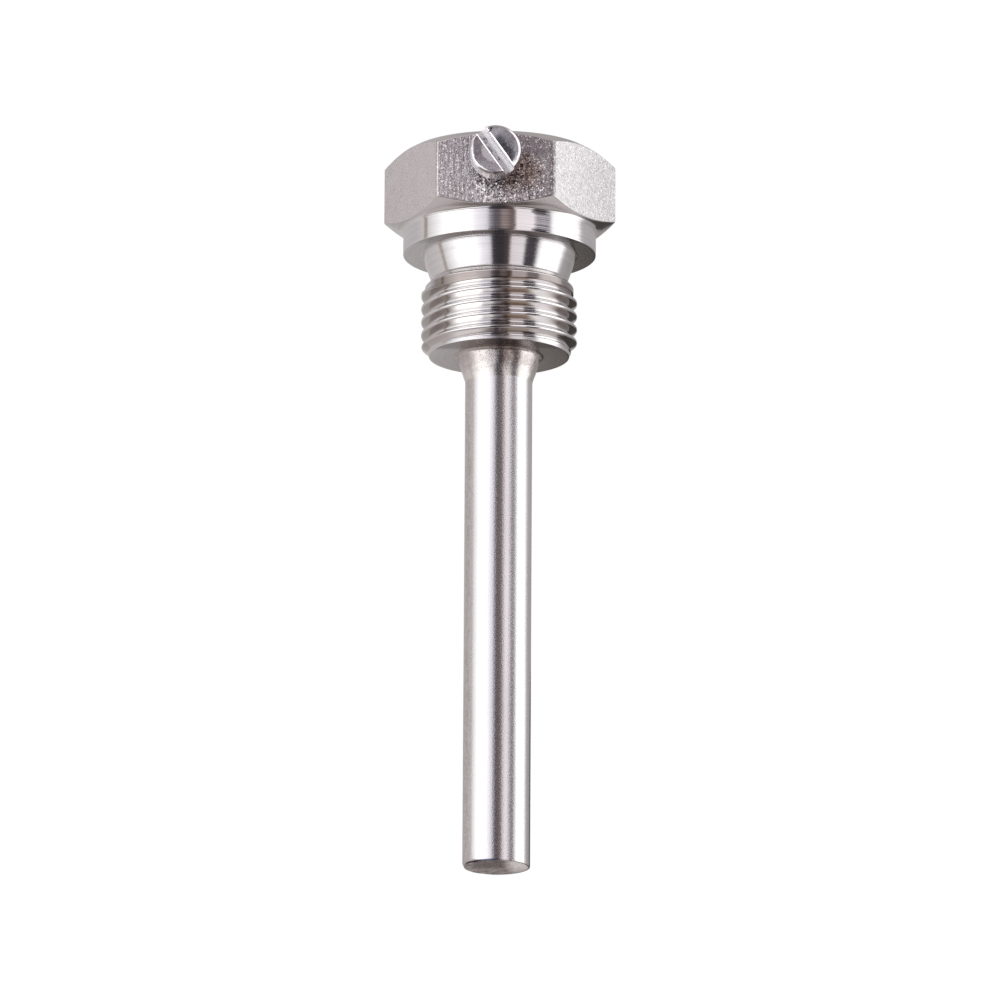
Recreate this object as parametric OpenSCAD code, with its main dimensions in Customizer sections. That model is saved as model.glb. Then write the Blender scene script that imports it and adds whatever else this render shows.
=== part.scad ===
// Screw-in thermowell with hex head, clamp screw and welded closed stem.
// The origin is the centre of the sealing face under the collar.
// +Z points up out of the probe mouth, the stem hangs along -Z.
// The hex has a flat on -Y, and the clamp screw is in that flat.

/* [Hex head] */
// Width of the hexagon across its flats
hex_af = 27; // [24:0.5:32]
// Height of the top face above the sealing face
top_z = 13.95; // [12.5:0.05:20]
// Height at which the top chamfer meets the corners
hex_corner_top = 12.1; // [10.9:0.1:12.4]
// Height at which the bottom chamfer meets the corners
hex_corner_bottom = 4.62; // [4.5:0.02:5.4]
// Slope of the bottom chamfer from horizontal
bottom_slope = 27; // [20:1:27]
// Slope of the top chamfer from horizontal
top_slope = 30; // [20:1:35]

/* [Collar and neck] */
// Diameter of the sealing collar
collar_d = 25.9; // [25:0.1:26.5]
// Thickness of the sealing collar
collar_h = 3.08; // [2:0.02:3.1]
// Diameter of the relief neck under the collar
neck_top_d = 20.7; // [19.6:0.1:20.9]
// Diameter of the relief neck where the thread starts
neck_bottom_d = 18.2; // [17.6:0.1:18.6]
// Depth of the neck's lower end below the sealing face
neck_h = 3.7; // [2.5:0.1:4.5]

/* [Process thread] */
// Major diameter of the parallel pipe thread
thread_d = 20.955; // [20.955:0.001:20.956]
// Length from the sealing face to the end face
thread_len = 14.1; // [12:0.1:18]
// Diameter of the unthreaded pilot at the end
pilot_d = 18.9; // [18.2:0.1:19.2]

/* [Stem] */
// Outer diameter of the stem tube
stem_d = 9; // [8.5:0.1:10]
// Wall thickness of the stem tube
stem_wall = 1; // [0.8:0.1:1.2]
// Length from the sealing face to the closed tip
insertion_len = 84.3; // [60:0.1:400]
// Thickness of the plug that closes the tube
plug_t = 3; // [2:0.5:6]
// Step in the tube's wall that the plug seats against
plug_step = 0.3; // [0.2:0.05:0.4]
// Depth of the socket that takes the tube
socket_depth = 10; // [6:0.5:11]
// Largest radius of the root weld
weld_r = 5.5; // [5.2:0.1:6]
// Length of the root weld along the stem
weld_len = 3.7; // [2.5:0.1:6]

/* [Clamp screw] */
// Nominal diameter of the clamp screw
screw_d = 4; // [3:0.5:4]
// Length of the screw under its head
screw_len = 12; // [12:0.5:16]
// Height of the screw axis above the sealing face
screw_z = 9.7; // [8.5:0.1:9.8]
// Sideways offset of the screw axis from the middle of the flat
screw_x = 0.15; // [-0.5:0.05:0.5]
// Diameter of the slotted head at its base
screw_head_d = 7; // [6:0.1:7]
// Height of the slotted head
screw_head_h = 2.6; // [1.8:0.1:3]
// Width of the driver slot
slot_w = 1.4; // [1:0.1:1.5]
// Depth of the driver slot
slot_depth = 1.4; // [1:0.1:1.6]
// Gap between the head and the flat as supplied
screw_gap = 2.1; // [2.1:0.1:4]
// Lean of the driver slot from horizontal
slot_angle = 55; // [0:1:90]

/* [Hidden] */
$fn = 96;
eps = 0.01;
// Corner radius of the hexagon
hex_r = hex_af / 2 / cos(30);
// The probe bore has the inner diameter of the tube all the way down
bore_d = stem_d - 2 * stem_wall;
// Radius at which the bottom chamfer starts beside the collar
under_r = collar_d / 2 - 0.25;
// Running clearance of the screw thread in its hole
screw_play = 0.1;
// Play of the tube in its socket
socket_play = 0.1;
// Radius of the flat ring on top of the hexagon
top_r = hex_r - (top_z - hex_corner_top) / tan(top_slope);
// Lowest height of the bottom chamfer, at under_r
under_z = hex_corner_bottom - (hex_r - under_r) * tan(bottom_slope);
// Point at z = -depth on the convex flank of the root weld
function weld_pt(t) = [stem_d / 2 + (weld_r - stem_d / 2) * pow(cos(90 * t), 0.85),
                       -thread_len - weld_len * t];

// Hexagonal prism cut by a turned profile with both chamfers
module hex_body() {
    intersection() {
        translate([0, 0, collar_h - eps])
            cylinder(h = top_z - collar_h + eps, r = hex_r, $fn = 6);
        rotate_extrude()
            polygon([[0, collar_h - eps], [under_r, collar_h - eps], [under_r, under_z],
                     [hex_r + 1, hex_corner_bottom + tan(bottom_slope)],
                     [hex_r + 1, hex_corner_top - tan(top_slope)],
                     [top_r, top_z], [0, top_z]]);
    }
}

// Turned part below the hexagon: collar, neck, thread envelope and pilot
module turned_body() {
    rotate_extrude()
        polygon([[0, collar_h], [collar_d / 2 - 0.05, collar_h],
                 [collar_d / 2, collar_h - 0.05], [collar_d / 2, 0.05],
                 [collar_d / 2 - 0.05, 0],
                 [neck_top_d / 2 + 0.12, 0], [neck_top_d / 2, -0.12],
                 [neck_bottom_d / 2, -neck_h],
                 [thread_d / 2, -neck_h - 1.35],
                 [thread_d / 2, -thread_len + 1.2],
                 [pilot_d / 2, -thread_len + 0.25],
                 [pilot_d / 2 - 0.25, -thread_len], [0, -thread_len]]);
}

// Hex head with its probe bore, tube socket and tapped cross hole
module head() {
    color("silver")
    difference() {
        union() {
            hex_body();
            turned_body();
        }
        // probe bore with a broken edge at the mouth
        translate([0, 0, -thread_len - 1])
            cylinder(h = top_z + thread_len + 2, d = bore_d);
        translate([0, 0, top_z - 0.5])
            cylinder(h = 0.5 + eps, d1 = bore_d, d2 = bore_d + 1 + 2 * eps);
        // socket for the tube
        translate([0, 0, -thread_len - 1])
            cylinder(h = socket_depth + 1, d = stem_d + socket_play);
        // tapped cross hole for the clamp screw
        translate([screw_x, 0, screw_z]) rotate([90, 0, 0])
            cylinder(h = hex_af, d = screw_d);
    }
}

// Tube that carries the probe, open at both ends before welding
module stem_tube() {
    color("gainsboro")
    translate([0, 0, -insertion_len])
        difference() {
            rotate_extrude()
                polygon([[0, 0], [stem_d / 2 - 0.3, 0], [stem_d / 2 - 0.09, 0.09],
                         [stem_d / 2, 0.3],
                         [stem_d / 2, insertion_len - thread_len + socket_depth],
                         [0, insertion_len - thread_len + socket_depth]]);
            translate([0, 0, -1]) cylinder(h = insertion_len + 2, d = bore_d);
            // counterbore that seats the plug
            translate([0, 0, -1]) cylinder(h = plug_t + 1, d = bore_d + 2 * plug_step);
        }
}

// Dressed weld bead that joins the tube to the end face of the thread
module root_weld() {
    color("darkgray")
    rotate_extrude()
        polygon(concat([[stem_d / 2, -thread_len]],
                       [for (t = [0 : 0.1 : 0.91]) weld_pt(t)],
                       [[stem_d / 2, -thread_len - weld_len]]));
}

// Round plug welded into the lower end of the tube and ground flush
module tip_plug() {
    color("gray")
    translate([0, 0, -insertion_len]) cylinder(h = plug_t, d = bore_d + 2 * plug_step);
}

// Slotted cheese-head clamp screw, its thread as a plain shank
module clamp_screw() {
    color("lightgray")
    translate([screw_x, -hex_af / 2 - screw_gap, screw_z]) rotate([90, 0, 0])
        difference() {
            rotate_extrude()
                polygon([[0, -screw_len], [screw_d / 2 - 0.5, -screw_len],
                         [(screw_d - screw_play) / 2, -screw_len + 0.45],
                         [(screw_d - screw_play) / 2, 0], [screw_head_d / 2 - 0.08, 0],
                         [screw_head_d / 2, 0.08],
                         [screw_head_d / 2 - 0.1, screw_head_h - 0.2],
                         [screw_head_d / 2 - 0.3, screw_head_h], [0, screw_head_h]]);
            rotate([0, 0, -slot_angle])
                translate([-screw_head_d, -slot_w / 2, screw_head_h - slot_depth])
                    cube([2 * screw_head_d, slot_w, slot_depth + 1]);
        }
}

head();
stem_tube();
root_weld();
tip_plug();
clamp_screw();
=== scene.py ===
import bpy, bmesh, math
import numpy as np
from mathutils import Vector, Matrix


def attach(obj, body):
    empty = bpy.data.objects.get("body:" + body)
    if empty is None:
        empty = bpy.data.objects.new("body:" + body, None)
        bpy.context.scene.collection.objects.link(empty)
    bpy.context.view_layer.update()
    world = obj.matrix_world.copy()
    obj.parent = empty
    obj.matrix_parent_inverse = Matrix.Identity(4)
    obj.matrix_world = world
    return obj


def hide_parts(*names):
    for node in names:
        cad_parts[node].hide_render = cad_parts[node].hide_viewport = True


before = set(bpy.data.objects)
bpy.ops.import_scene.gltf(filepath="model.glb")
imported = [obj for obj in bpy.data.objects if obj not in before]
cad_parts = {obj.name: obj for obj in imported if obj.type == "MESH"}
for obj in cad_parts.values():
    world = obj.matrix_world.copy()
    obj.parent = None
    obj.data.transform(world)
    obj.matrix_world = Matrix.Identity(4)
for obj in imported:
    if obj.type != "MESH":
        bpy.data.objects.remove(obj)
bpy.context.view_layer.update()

# All shapes below are written in millimetres in the row frame and made in metres.
MM = 0.001
PI = math.pi
HEX_R = 13.5 / math.cos(PI / 6)
PITCH = 1.814
SCREW_X, SCREW_Y, SCREW_Z = 0.15, -15.6, 9.7


# ------------------------------------------------------------------ mesh tools
def grid_faces(m, n, wrap):
    """Quads between m rings of n points; wrap joins the last ring to the first."""
    faces = []
    for i in range(m if wrap else m - 1):
        a, b = i * n, ((i + 1) % m) * n
        for j in range(n):
            k = (j + 1) % n
            faces.append((a + j, a + k, b + k, b + j))
    return faces


def new_object(name, co, faces, mats):
    """Object from points in mm, with its faces turned outwards."""
    mesh = bpy.data.meshes.new(name)
    mesh.from_pydata((np.asarray(co, float) * MM).tolist(), [], faces)
    bm = bmesh.new()
    bm.from_mesh(mesh)
    bmesh.ops.recalc_face_normals(bm, faces=bm.faces)
    bm.to_mesh(mesh)
    bm.free()
    for m in mats:
        mesh.materials.append(m)
    ob = bpy.data.objects.new(name, mesh)
    bpy.context.scene.collection.objects.link(ob)
    return ob


def shade(ob, angle=None):
    """Smooth shading whose normals follow the larger faces, so flats stay flat and edge breaks stay round."""
    me = ob.data
    n, v, loops = len(me.polygons), len(me.vertices), len(me.loops)
    area = np.empty(n, np.float32)
    nor = np.empty(n * 3, np.float32)
    tot = np.empty(n, np.int32)
    me.polygons.foreach_get("area", area)
    me.polygons.foreach_get("normal", nor)
    me.polygons.foreach_get("loop_total", tot)
    li = np.empty(loops, np.int32)
    me.loops.foreach_get("vertex_index", li)
    fi = np.repeat(np.arange(n), tot)
    w = nor.reshape(-1, 3)[fi] * area[fi][:, None]
    acc = np.zeros((v, 3))
    np.add.at(acc, li, w)
    if angle is not None:
        # corners whose face turns further than this from the vertex normal keep the face's own normal
        acc /= np.maximum(np.linalg.norm(acc, axis=1), 1e-20)[:, None]
        out = acc[li]
        fn = nor.reshape(-1, 3)[fi]
        far = (out * fn).sum(1) < math.cos(angle)
        out[far] = fn[far]
        me.polygons.foreach_set("use_smooth", np.ones(n, bool))
        me.normals_split_custom_set(out.tolist())
        return ob
    acc /= np.maximum(np.linalg.norm(acc, axis=1), 1e-20)[:, None]
    me.polygons.foreach_set("use_smooth", np.ones(n, bool))
    me.normals_split_custom_set_from_vertices(acc.tolist())
    return ob


def boolean_cut(ob, cutter):
    mod = ob.modifiers.new("cut", "BOOLEAN")
    mod.operation, mod.solver, mod.object = "DIFFERENCE", "EXACT", cutter
    dg = bpy.context.evaluated_depsgraph_get()
    mesh = bpy.data.meshes.new_from_object(ob.evaluated_get(dg))
    ob.modifiers.clear()
    old = ob.data
    ob.data = mesh
    bpy.data.meshes.remove(old)
    cm = cutter.data
    bpy.data.objects.remove(cutter)
    bpy.data.meshes.remove(cm)
    return ob


def smin(a, b, k):
    return 0.5 * (a + b - np.sqrt((a - b) ** 2 + k * k))


def smax(a, b, k):
    return 0.5 * (a + b + np.sqrt((a - b) ** 2 + k * k))


def value_noise(shape, cells, seed, wrap_x=True):
    """Smooth random field of the given shape, periodic along its last axis."""
    rs = np.random.RandomState(seed)
    cy, cx = cells
    g = rs.uniform(-1, 1, (cy + 3, cx))
    y = np.linspace(0, cy, shape[0])
    x = np.linspace(0, cx, shape[1], endpoint=False)
    yi, xi = y.astype(int), x.astype(int)
    fy, fx = (y - yi)[:, None], (x - xi)[None, :]
    fy, fx = fy * fy * (3 - 2 * fy), fx * fx * (3 - 2 * fx)
    a = g[yi][:, xi % cx]
    b = g[yi][:, (xi + 1) % cx]
    c = g[yi + 1][:, xi % cx]
    d = g[yi + 1][:, (xi + 1) % cx]
    return (a * (1 - fx) + b * fx) * (1 - fy) + (c * (1 - fx) + d * fx) * fy


# ------------------------------------------------------------------ materials
class Nodes:
    def __init__(self, name):
        self.mat = bpy.data.materials.new(name)
        self.mat.use_nodes = True
        self.t = self.mat.node_tree
        self.t.nodes.clear()
        self.out = self.t.nodes.new("ShaderNodeOutputMaterial")
        self.bsdf = self.t.nodes.new("ShaderNodeBsdfPrincipled")
        self.t.links.new(self.bsdf.outputs[0], self.out.inputs[0])

    def add(self, kind, **props):
        n = self.t.nodes.new(kind)
        for k, v in props.items():
            setattr(n, k, v)
        return n

    def put(self, socket, value):
        if hasattr(value, "bl_idname") or hasattr(value, "links"):
            self.t.links.new(value, socket)
        else:
            socket.default_value = value

    def math(self, op, a, b=None, c=None, clamp=False):
        n = self.add("ShaderNodeMath", operation=op, use_clamp=clamp)
        for i, v in enumerate((a, b, c)):
            if v is not None:
                self.put(n.inputs[i], v)
        return n.outputs[0]

    def vec(self, x, y, z):
        n = self.add("ShaderNodeCombineXYZ")
        for i, v in enumerate((x, y, z)):
            self.put(n.inputs[i], v)
        return n.outputs[0]

    def coords(self):
        """Object coordinates in mm, and the polar ones about the bore axis."""
        tc = self.add("ShaderNodeTexCoord")
        m = self.add("ShaderNodeVectorMath", operation="SCALE")
        self.t.links.new(tc.outputs["Object"], m.inputs[0])
        m.inputs["Scale"].default_value = 1000.0
        s = self.add("ShaderNodeSeparateXYZ")
        self.t.links.new(m.outputs[0], s.inputs[0])
        x, y, z = s.outputs
        r = self.math("SQRT", self.math("ADD", self.math("MULTIPLY", x, x), self.math("MULTIPLY", y, y)))
        a = self.math("ARCTAN2", y, x)
        return m.outputs[0], x, y, z, r, a

    def noise(self, vector, scale, detail=2.0, rough=0.5, distortion=0.0):
        n = self.add("ShaderNodeTexNoise", noise_dimensions="3D")
        self.put(n.inputs["Vector"], vector)
        n.inputs["Scale"].default_value = scale
        n.inputs["Detail"].default_value = detail
        n.inputs["Roughness"].default_value = rough
        n.inputs["Distortion"].default_value = distortion
        return n.outputs["Fac"]

    def voronoi(self, vector, scale, feature="F1", out="Distance", rand=1.0):
        n = self.add("ShaderNodeTexVoronoi", voronoi_dimensions="3D", feature=feature)
        self.put(n.inputs["Vector"], vector)
        n.inputs["Scale"].default_value = scale
        n.inputs["Randomness"].default_value = rand
        return n.outputs[out]

    def ramp(self, fac, stops, interp="LINEAR"):
        n = self.add("ShaderNodeValToRGB")
        n.color_ramp.interpolation = interp
        e = n.color_ramp.elements
        while len(e) > 1:
            e.remove(e[-1])
        for i, (p, c) in enumerate(stops):
            el = e[0] if i == 0 else e.new(p)
            el.position = p
            el.color = (*c, 1) if hasattr(c, "__len__") else (c, c, c, 1)
        self.put(n.inputs[0], fac)
        return n.outputs[0]

    def map(self, v, a, b, c, d, clamp=True, kind="LINEAR"):
        n = self.add("ShaderNodeMapRange", interpolation_type=kind, clamp=clamp)
        self.put(n.inputs[0], v)
        for i, q in enumerate((a, b, c, d)):
            self.put(n.inputs[1 + i], q)
        return n.outputs[0]

    def mixc(self, fac, a, b, blend="MIX"):
        n = self.add("ShaderNodeMix", data_type="RGBA", blend_type=blend)
        self.put(n.inputs[0], fac)
        self.put(n.inputs[6], a if not isinstance(a, tuple) else (*a, 1))
        self.put(n.inputs[7], b if not isinstance(b, tuple) else (*b, 1))
        return n.outputs[2]

    def bump(self, height, strength, distance_mm, normal=None):
        n = self.add("ShaderNodeBump")
        self.put(n.inputs["Height"], height)
        n.inputs["Strength"].default_value = strength
        n.inputs["Distance"].default_value = distance_mm * MM
        if normal is not None:
            self.t.links.new(normal, n.inputs["Normal"])
        return n.outputs[0]


def mat_turned(name="turned_steel", rough=0.13, line=1.0):
    """Fine-turned stainless: circular tool lines, bright, anisotropic along the turning."""
    N = Nodes(name)
    v, x, y, z, r, a = N.coords()
    # tool lines: constant round the axis, so they read only z and r, with a slow drift round the part
    drift = N.noise(N.vec(N.math("COSINE", a), N.math("SINE", a), N.math("MULTIPLY", z, 0.1)), 1.6, 1.0)
    zl = N.math("ADD", z, N.math("MULTIPLY", drift, 0.05))
    rl = N.math("ADD", r, N.math("MULTIPLY", drift, 0.05))
    ring = N.vec(rl, N.math("MULTIPLY", a, 0.25), zl)
    n1 = N.noise(ring, 9.0, 3.0, 0.7)
    n2 = N.noise(ring, 2.4, 2.0, 0.5)
    n3 = N.noise(v, 11.0, 2.0, 0.6)
    pits = N.map(N.noise(v, 5.0, 3.0, 0.55), 0.70, 0.78, 0, 1)
    collar = N.math("MULTIPLY", N.map(z, 0.1, 0.2, 0, 1), N.map(z, 3.2, 3.1, 0, 1))
    thread = N.math("MULTIPLY", N.map(z, -5.3, -5.6, 0, 1), N.map(z, -13.7, -13.4, 0, 1))
    rim = N.math("MULTIPLY", N.map(z, -3.55, -3.62, 0, 1), N.map(z, -5.7, -5.4, 0, 1))
    calm = N.math("SUBTRACT", 1.0, N.math("MULTIPLY", N.math("MAXIMUM", N.math("MAXIMUM", collar, thread), rim), 0.8))
    h = N.math("ADD", N.math("MULTIPLY", N.math("MULTIPLY", n1, calm), 0.55 * line), N.math("MULTIPLY", n2, 0.8 * line))
    # the collar's edge was turned with a coarser feed, strongest on one side
    feed = N.math("MULTIPLY", collar, N.map(x, 3.2, 5.2, 0.5, 3.4))
    h = N.math("ADD", h, N.math("MULTIPLY", N.noise(N.vec(0.0, N.math("MULTIPLY", a, 0.4), zl), 2.9, 2.0, 0.6), feed))
    h = N.math("ADD", h, N.math("MULTIPLY", N.math("MULTIPLY", n3, calm), 0.16))
    h = N.math("SUBTRACT", h, N.math("MULTIPLY", pits, 0.25))
    nb = N.bump(h, 0.16, 0.05)
    col = N.mixc(N.map(n2, 0.35, 0.7, 0, 1), (0.638, 0.617, 0.620), (0.568, 0.551, 0.556))
    col = N.mixc(N.math("MULTIPLY", pits, 0.5), col, (0.30, 0.28, 0.27))
    # the thread's flanks hold a brown film, heaviest towards the sides
    film = N.math("MULTIPLY", N.map(r, 9.42, 9.62, 0, 1), N.map(r, 10.38, 10.22, 0, 1))
    film = N.math("MULTIPLY", film, thread)
    # the front left of the thread's flanks is painted paler: painted highlight
    thread_painted_highlight = N.math("MULTIPLY", film, N.math("MULTIPLY", N.map(x, -6.6, -5.2, 0, 1), N.map(x, -1.6, -2.4, 0, 1)))
    thread_painted_highlight = N.math("MULTIPLY", thread_painted_highlight, N.map(y, 0.0, -1.0, 0, 1))
    mid = N.math("MULTIPLY", N.map(x, 0.6, 1.5, 0, 0.75), N.map(x, 5.2, 4.2, 0, 1))
    film = N.math("MULTIPLY", film, N.math("ADD", mid, N.math("ADD", N.map(x, -4.9, -8.0, 0.0, 0.38), N.math("MULTIPLY", N.map(x, 6.6, 8.4, 0.0, 0.46), N.map(x, 9.0, 10.0, 1.0, 0.35)))))
    film = N.math("MULTIPLY", film, N.map(y, 2.0, -1.0, 0.3, 1))
    col = N.mixc(N.math("MULTIPLY", thread_painted_highlight, 0.9), col, (0.90, 0.875, 0.865))
    col = N.mixc(film, col, (0.26, 0.20, 0.15))
    # the run-in above the thread is painted brighter: painted highlight
    runin_painted_highlight = N.math("MULTIPLY", N.map(z, -3.80, -3.90, 0, 1), N.map(z, -4.72, -4.66, 0, 1))
    col = N.mixc(N.math("MULTIPLY", runin_painted_highlight, 0.7), col, (0.84, 0.815, 0.81))
    # the plain land below it is brown
    land = N.math("MULTIPLY", N.map(z, -4.68, -4.76, 0, 1), N.map(z, -6.05, -5.90, 0, 1))
    land = N.math("MULTIPLY", land, N.math("MULTIPLY", N.map(r, 9.84, 9.90, 0, 1), N.map(r, 10.08, 10.03, 0, 1)))
    land = N.math("MULTIPLY", land, N.math("MULTIPLY", N.map(x, -9.2, -8.2, 0, 1), N.map(y, 2.0, -1.0, 0.3, 1)))
    col = N.mixc(N.math("MULTIPLY", land, N.map(n1, 0.3, 0.7, 0.98, 0.82)), col, (0.245, 0.210, 0.198))
    calm_run = N.math("MULTIPLY", N.map(z, -3.70, -3.80, 0, 1), N.map(z, -5.4, -5.25, 0, 1))
    # two dark bars at the collar's edges, on one side only: painted dark reflection along the turning marks
    collar_painted_dark_reflection = N.math("ADD", N.math("MULTIPLY", N.map(z, 2.56, 2.66, 0, 1), N.map(z, 3.02, 2.96, 0, 1)), N.math("MULTIPLY", N.map(z, 0.12, 0.20, 0, 1), N.map(z, 0.46, 0.38, 0, 1)))
    collar_painted_dark_reflection = N.math("MULTIPLY", collar_painted_dark_reflection, N.math("MULTIPLY", N.map(N.math("ADD", x, N.math("MULTIPLY", n1, 0.5)), 4.9, 5.2, 0, 1), N.map(N.math("ADD", x, N.math("MULTIPLY", n1, 0.5)), 7.1, 6.8, 0, 1)))
    collar_painted_dark_reflection = N.math("MULTIPLY", collar_painted_dark_reflection, N.map(y, 0.0, -1.0, 0, 1))
    col = N.mixc(N.math("MULTIPLY", collar_painted_dark_reflection, 0.85), col, (0.10, 0.09, 0.095))
    # the end face is darkened on its front beside the bead: painted dark reflection
    end_face_dark_reflection = N.math("MULTIPLY", N.map(z, -14.03, -14.07, 0, 1), N.map(y, -3.6, -5.4, 0, 1, kind="SMOOTHSTEP"))
    col = N.mixc(N.math("MULTIPLY", end_face_dark_reflection, 0.8), col, (0.26, 0.225, 0.235))
    # the sealing face is darkened along its front, more to the right: painted shade
    under = N.math("MULTIPLY", N.map(z, 0.03, 0.01, 0, 1), N.math("MULTIPLY", N.map(z, -0.03, -0.01, 0, 1), N.map(r, 10.6, 10.7, 0, 1)))
    sealing_face_painted_shade = N.math("MULTIPLY", N.map(y, -5.5, -8.5, 0, 1, kind="SMOOTHSTEP"), N.math("ADD", N.map(x, 2.5, 6.0, 0, 0.66), N.map(x, -3.0, -6.0, 0, 0.42)))
    col = N.mixc(N.math("MULTIPLY", under, sealing_face_painted_shade), col, (0.10, 0.085, 0.08))
    N.t.links.new(col, N.bsdf.inputs["Base Color"])
    N.bsdf.inputs["Metallic"].default_value = 1.0
    rr = N.map(n1, 0.3, 0.7, rough - 0.03, rough + 0.05)
    rr = N.math("SUBTRACT", rr, N.math("MULTIPLY", N.math("MAXIMUM", collar, thread), 0.045))
    rr = N.math("ADD", rr, N.math("MULTIPLY", N.math("MULTIPLY", N.map(z, -13.6, -13.7, 0, 1), N.map(z, -14.06, -14.0, 0, 1)), 0.20))
    rr = N.math("SUBTRACT", rr, N.math("MULTIPLY", calm_run, 0.04))
    N.t.links.new(rr, N.bsdf.inputs["Roughness"])
    N.bsdf.inputs["Anisotropic"].default_value = 0.75
    N.bsdf.inputs["Anisotropic Rotation"].default_value = 0.25
    tan = N.add("ShaderNodeTangent", direction_type="RADIAL", axis="Z")
    N.t.links.new(tan.outputs[0], N.bsdf.inputs["Tangent"])
    N.t.links.new(nb, N.bsdf.inputs["Normal"])
    return N.mat


def mat_blasted(name="blasted_steel"):
    """Hex flats: drawn bar with a blasted skin, small facets that catch the light."""
    N = Nodes(name)
    v, x, y, z, r, a = N.coords()
    # the grain is coarsest round and under the screw on the flat that carries it
    front = N.map(y, -13.0, -13.4, 0, 1)
    right = N.map(x, 7.9, 8.1, 0, 1)
    left = N.map(x, -7.9, -8.1, 0, 1)
    wob = N.math("MULTIPLY", N.math("SUBTRACT", N.noise(v, 0.8, 2.0, 0.6), 0.5), 3.0)
    dx = N.math("SUBTRACT", x, 2.0)
    dz = N.math("MULTIPLY", N.math("SUBTRACT", z, 6.6), 1.15)
    dd = N.math("SQRT", N.math("ADD", N.math("MULTIPLY", dx, dx), N.math("MULTIPLY", dz, dz)))
    coarse = N.map(N.math("ADD", dd, wob), 7.0, 3.2, 0, 1, kind="SMOOTHSTEP")
    coarse = N.math("MULTIPLY", coarse, N.math("MULTIPLY", N.map(x, 6.9, 6.3, 0, 1, kind="SMOOTHSTEP"), N.map(x, -4.4, -1.2, 0.30, 1, kind="SMOOTHSTEP")))
    coarse = N.math("MULTIPLY", coarse, front)
    fine = N.noise(v, 5.2, 3.0, 0.65)
    streak = N.noise(N.vec(N.math("MULTIPLY", x, 2.6), N.math("MULTIPLY", y, 2.6), N.math("MULTIPLY", z, 0.16)), 1.0, 3.0, 0.6)
    broad = N.noise(v, 0.55, 2.0, 0.5)
    h = N.math("ADD", N.math("MULTIPLY", fine, 0.045), N.math("MULTIPLY", N.math("MULTIPLY", streak, front), 0.05))
    # bar flats are very slightly crowned
    crown = N.math("MULTIPLY", N.math("SUBTRACT", N.math("MULTIPLY", r, r), 182.25), -0.0028)
    h = N.math("ADD", h, crown)
    # each grain is a small facet leaning its own way
    k1 = N.math("ADD", N.math("MULTIPLY", coarse, 0.40), N.math("ADD", N.math("MULTIPLY", front, 0.07), N.math("MULTIPLY", right, 0.10)))
    k2 = N.math("ADD", N.math("MULTIPLY", coarse, 0.10), N.math("ADD", N.math("MULTIPLY", front, 0.07), 0.05))
    nrm = N.add("ShaderNodeNewGeometry").outputs["Normal"]
    for scale, k in ((3.1, k1), (5.2, k2)):
        half = N.add("ShaderNodeVectorMath", operation="SUBTRACT")
        N.t.links.new(N.voronoi(v, scale, "F1", "Color"), half.inputs[0])
        half.inputs[1].default_value = (0.5, 0.5, 0.5)
        lean = N.add("ShaderNodeVectorMath", operation="SCALE")
        N.t.links.new(half.outputs[0], lean.inputs[0])
        N.t.links.new(k, lean.inputs["Scale"])
        tot = N.add("ShaderNodeVectorMath", operation="ADD")
        N.t.links.new(nrm, tot.inputs[0])
        N.t.links.new(lean.outputs[0], tot.inputs[1])
        nrm = tot.outputs[0]
    unit = N.add("ShaderNodeVectorMath", operation="NORMALIZE")
    N.t.links.new(nrm, unit.inputs[0])
    nb = N.bump(h, 1.0, 1.0, unit.outputs[0])
    col = N.mixc(N.map(fine, 0.35, 0.65, 0, 1), (0.60, 0.565, 0.57), (0.67, 0.64, 0.635))
    col = N.mixc(N.map(broad, 0.4, 0.7, 0, 0.30), col, (0.56, 0.49, 0.46))
    # painted shadow and reflection of the screw: a dark brown patch beside and under it
    bx = N.math("SUBTRACT", x, 3.3)
    bz = N.math("SUBTRACT", z, 7.9)
    bd = N.math("SQRT", N.math("ADD", N.math("MULTIPLY", bx, bx), N.math("MULTIPLY", bz, bz)))
    screw_painted_shadow = N.math("MULTIPLY", N.map(N.math("ADD", bd, N.math("MULTIPLY", wob, 0.6)), 3.7, 1.4, 0, 1, kind="SMOOTHSTEP"), front)
    col = N.mixc(N.math("MULTIPLY", right, 0.7), col, (0.640, 0.634, 0.638))
    # the front flat is darkened, most of all towards its right: painted shade
    front_flat_painted_shade = N.math("MULTIPLY", front, N.map(x, -5.0, 5.0, 0.36, 0.64, kind="SMOOTHSTEP"))
    # under the screw the painted shade is lighter
    front_flat_painted_shade = N.math("SUBTRACT", front_flat_painted_shade, N.math("MULTIPLY", N.math("MULTIPLY", front, N.map(z, 6.4, 4.6, 0, 1, kind="SMOOTHSTEP")), N.math("MULTIPLY", N.map(x, -5.0, 0.0, 0, 0.26), N.map(x, 6.0, 2.5, 0, 1))))
    front_flat_painted_shade = N.math("ADD", front_flat_painted_shade, N.math("MULTIPLY", front, N.math("SUBTRACT", N.map(z, 9.6, 10.8, 0, 0.14), N.map(x, 6.1, 6.6, 0, 0.10))))
    col = N.mixc(front_flat_painted_shade, col, (0.24, 0.205, 0.225))
    col = N.mixc(N.math("MULTIPLY", screw_painted_shadow, 0.62), col, (0.23, 0.145, 0.095))
    # dark spots between the grains: painted shade in the hollows
    dark = N.math("MULTIPLY", N.map(N.noise(v, 3.3, 2.0, 0.6), 0.56, 0.64, 0, 1), N.math("ADD", N.math("MULTIPLY", coarse, 0.62), N.math("ADD", N.math("MULTIPLY", front, 0.16), 0.12)))
    dark = N.math("MINIMUM", dark, 1.0)
    col = N.mixc(dark, col, (0.085, 0.07, 0.07))
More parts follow.
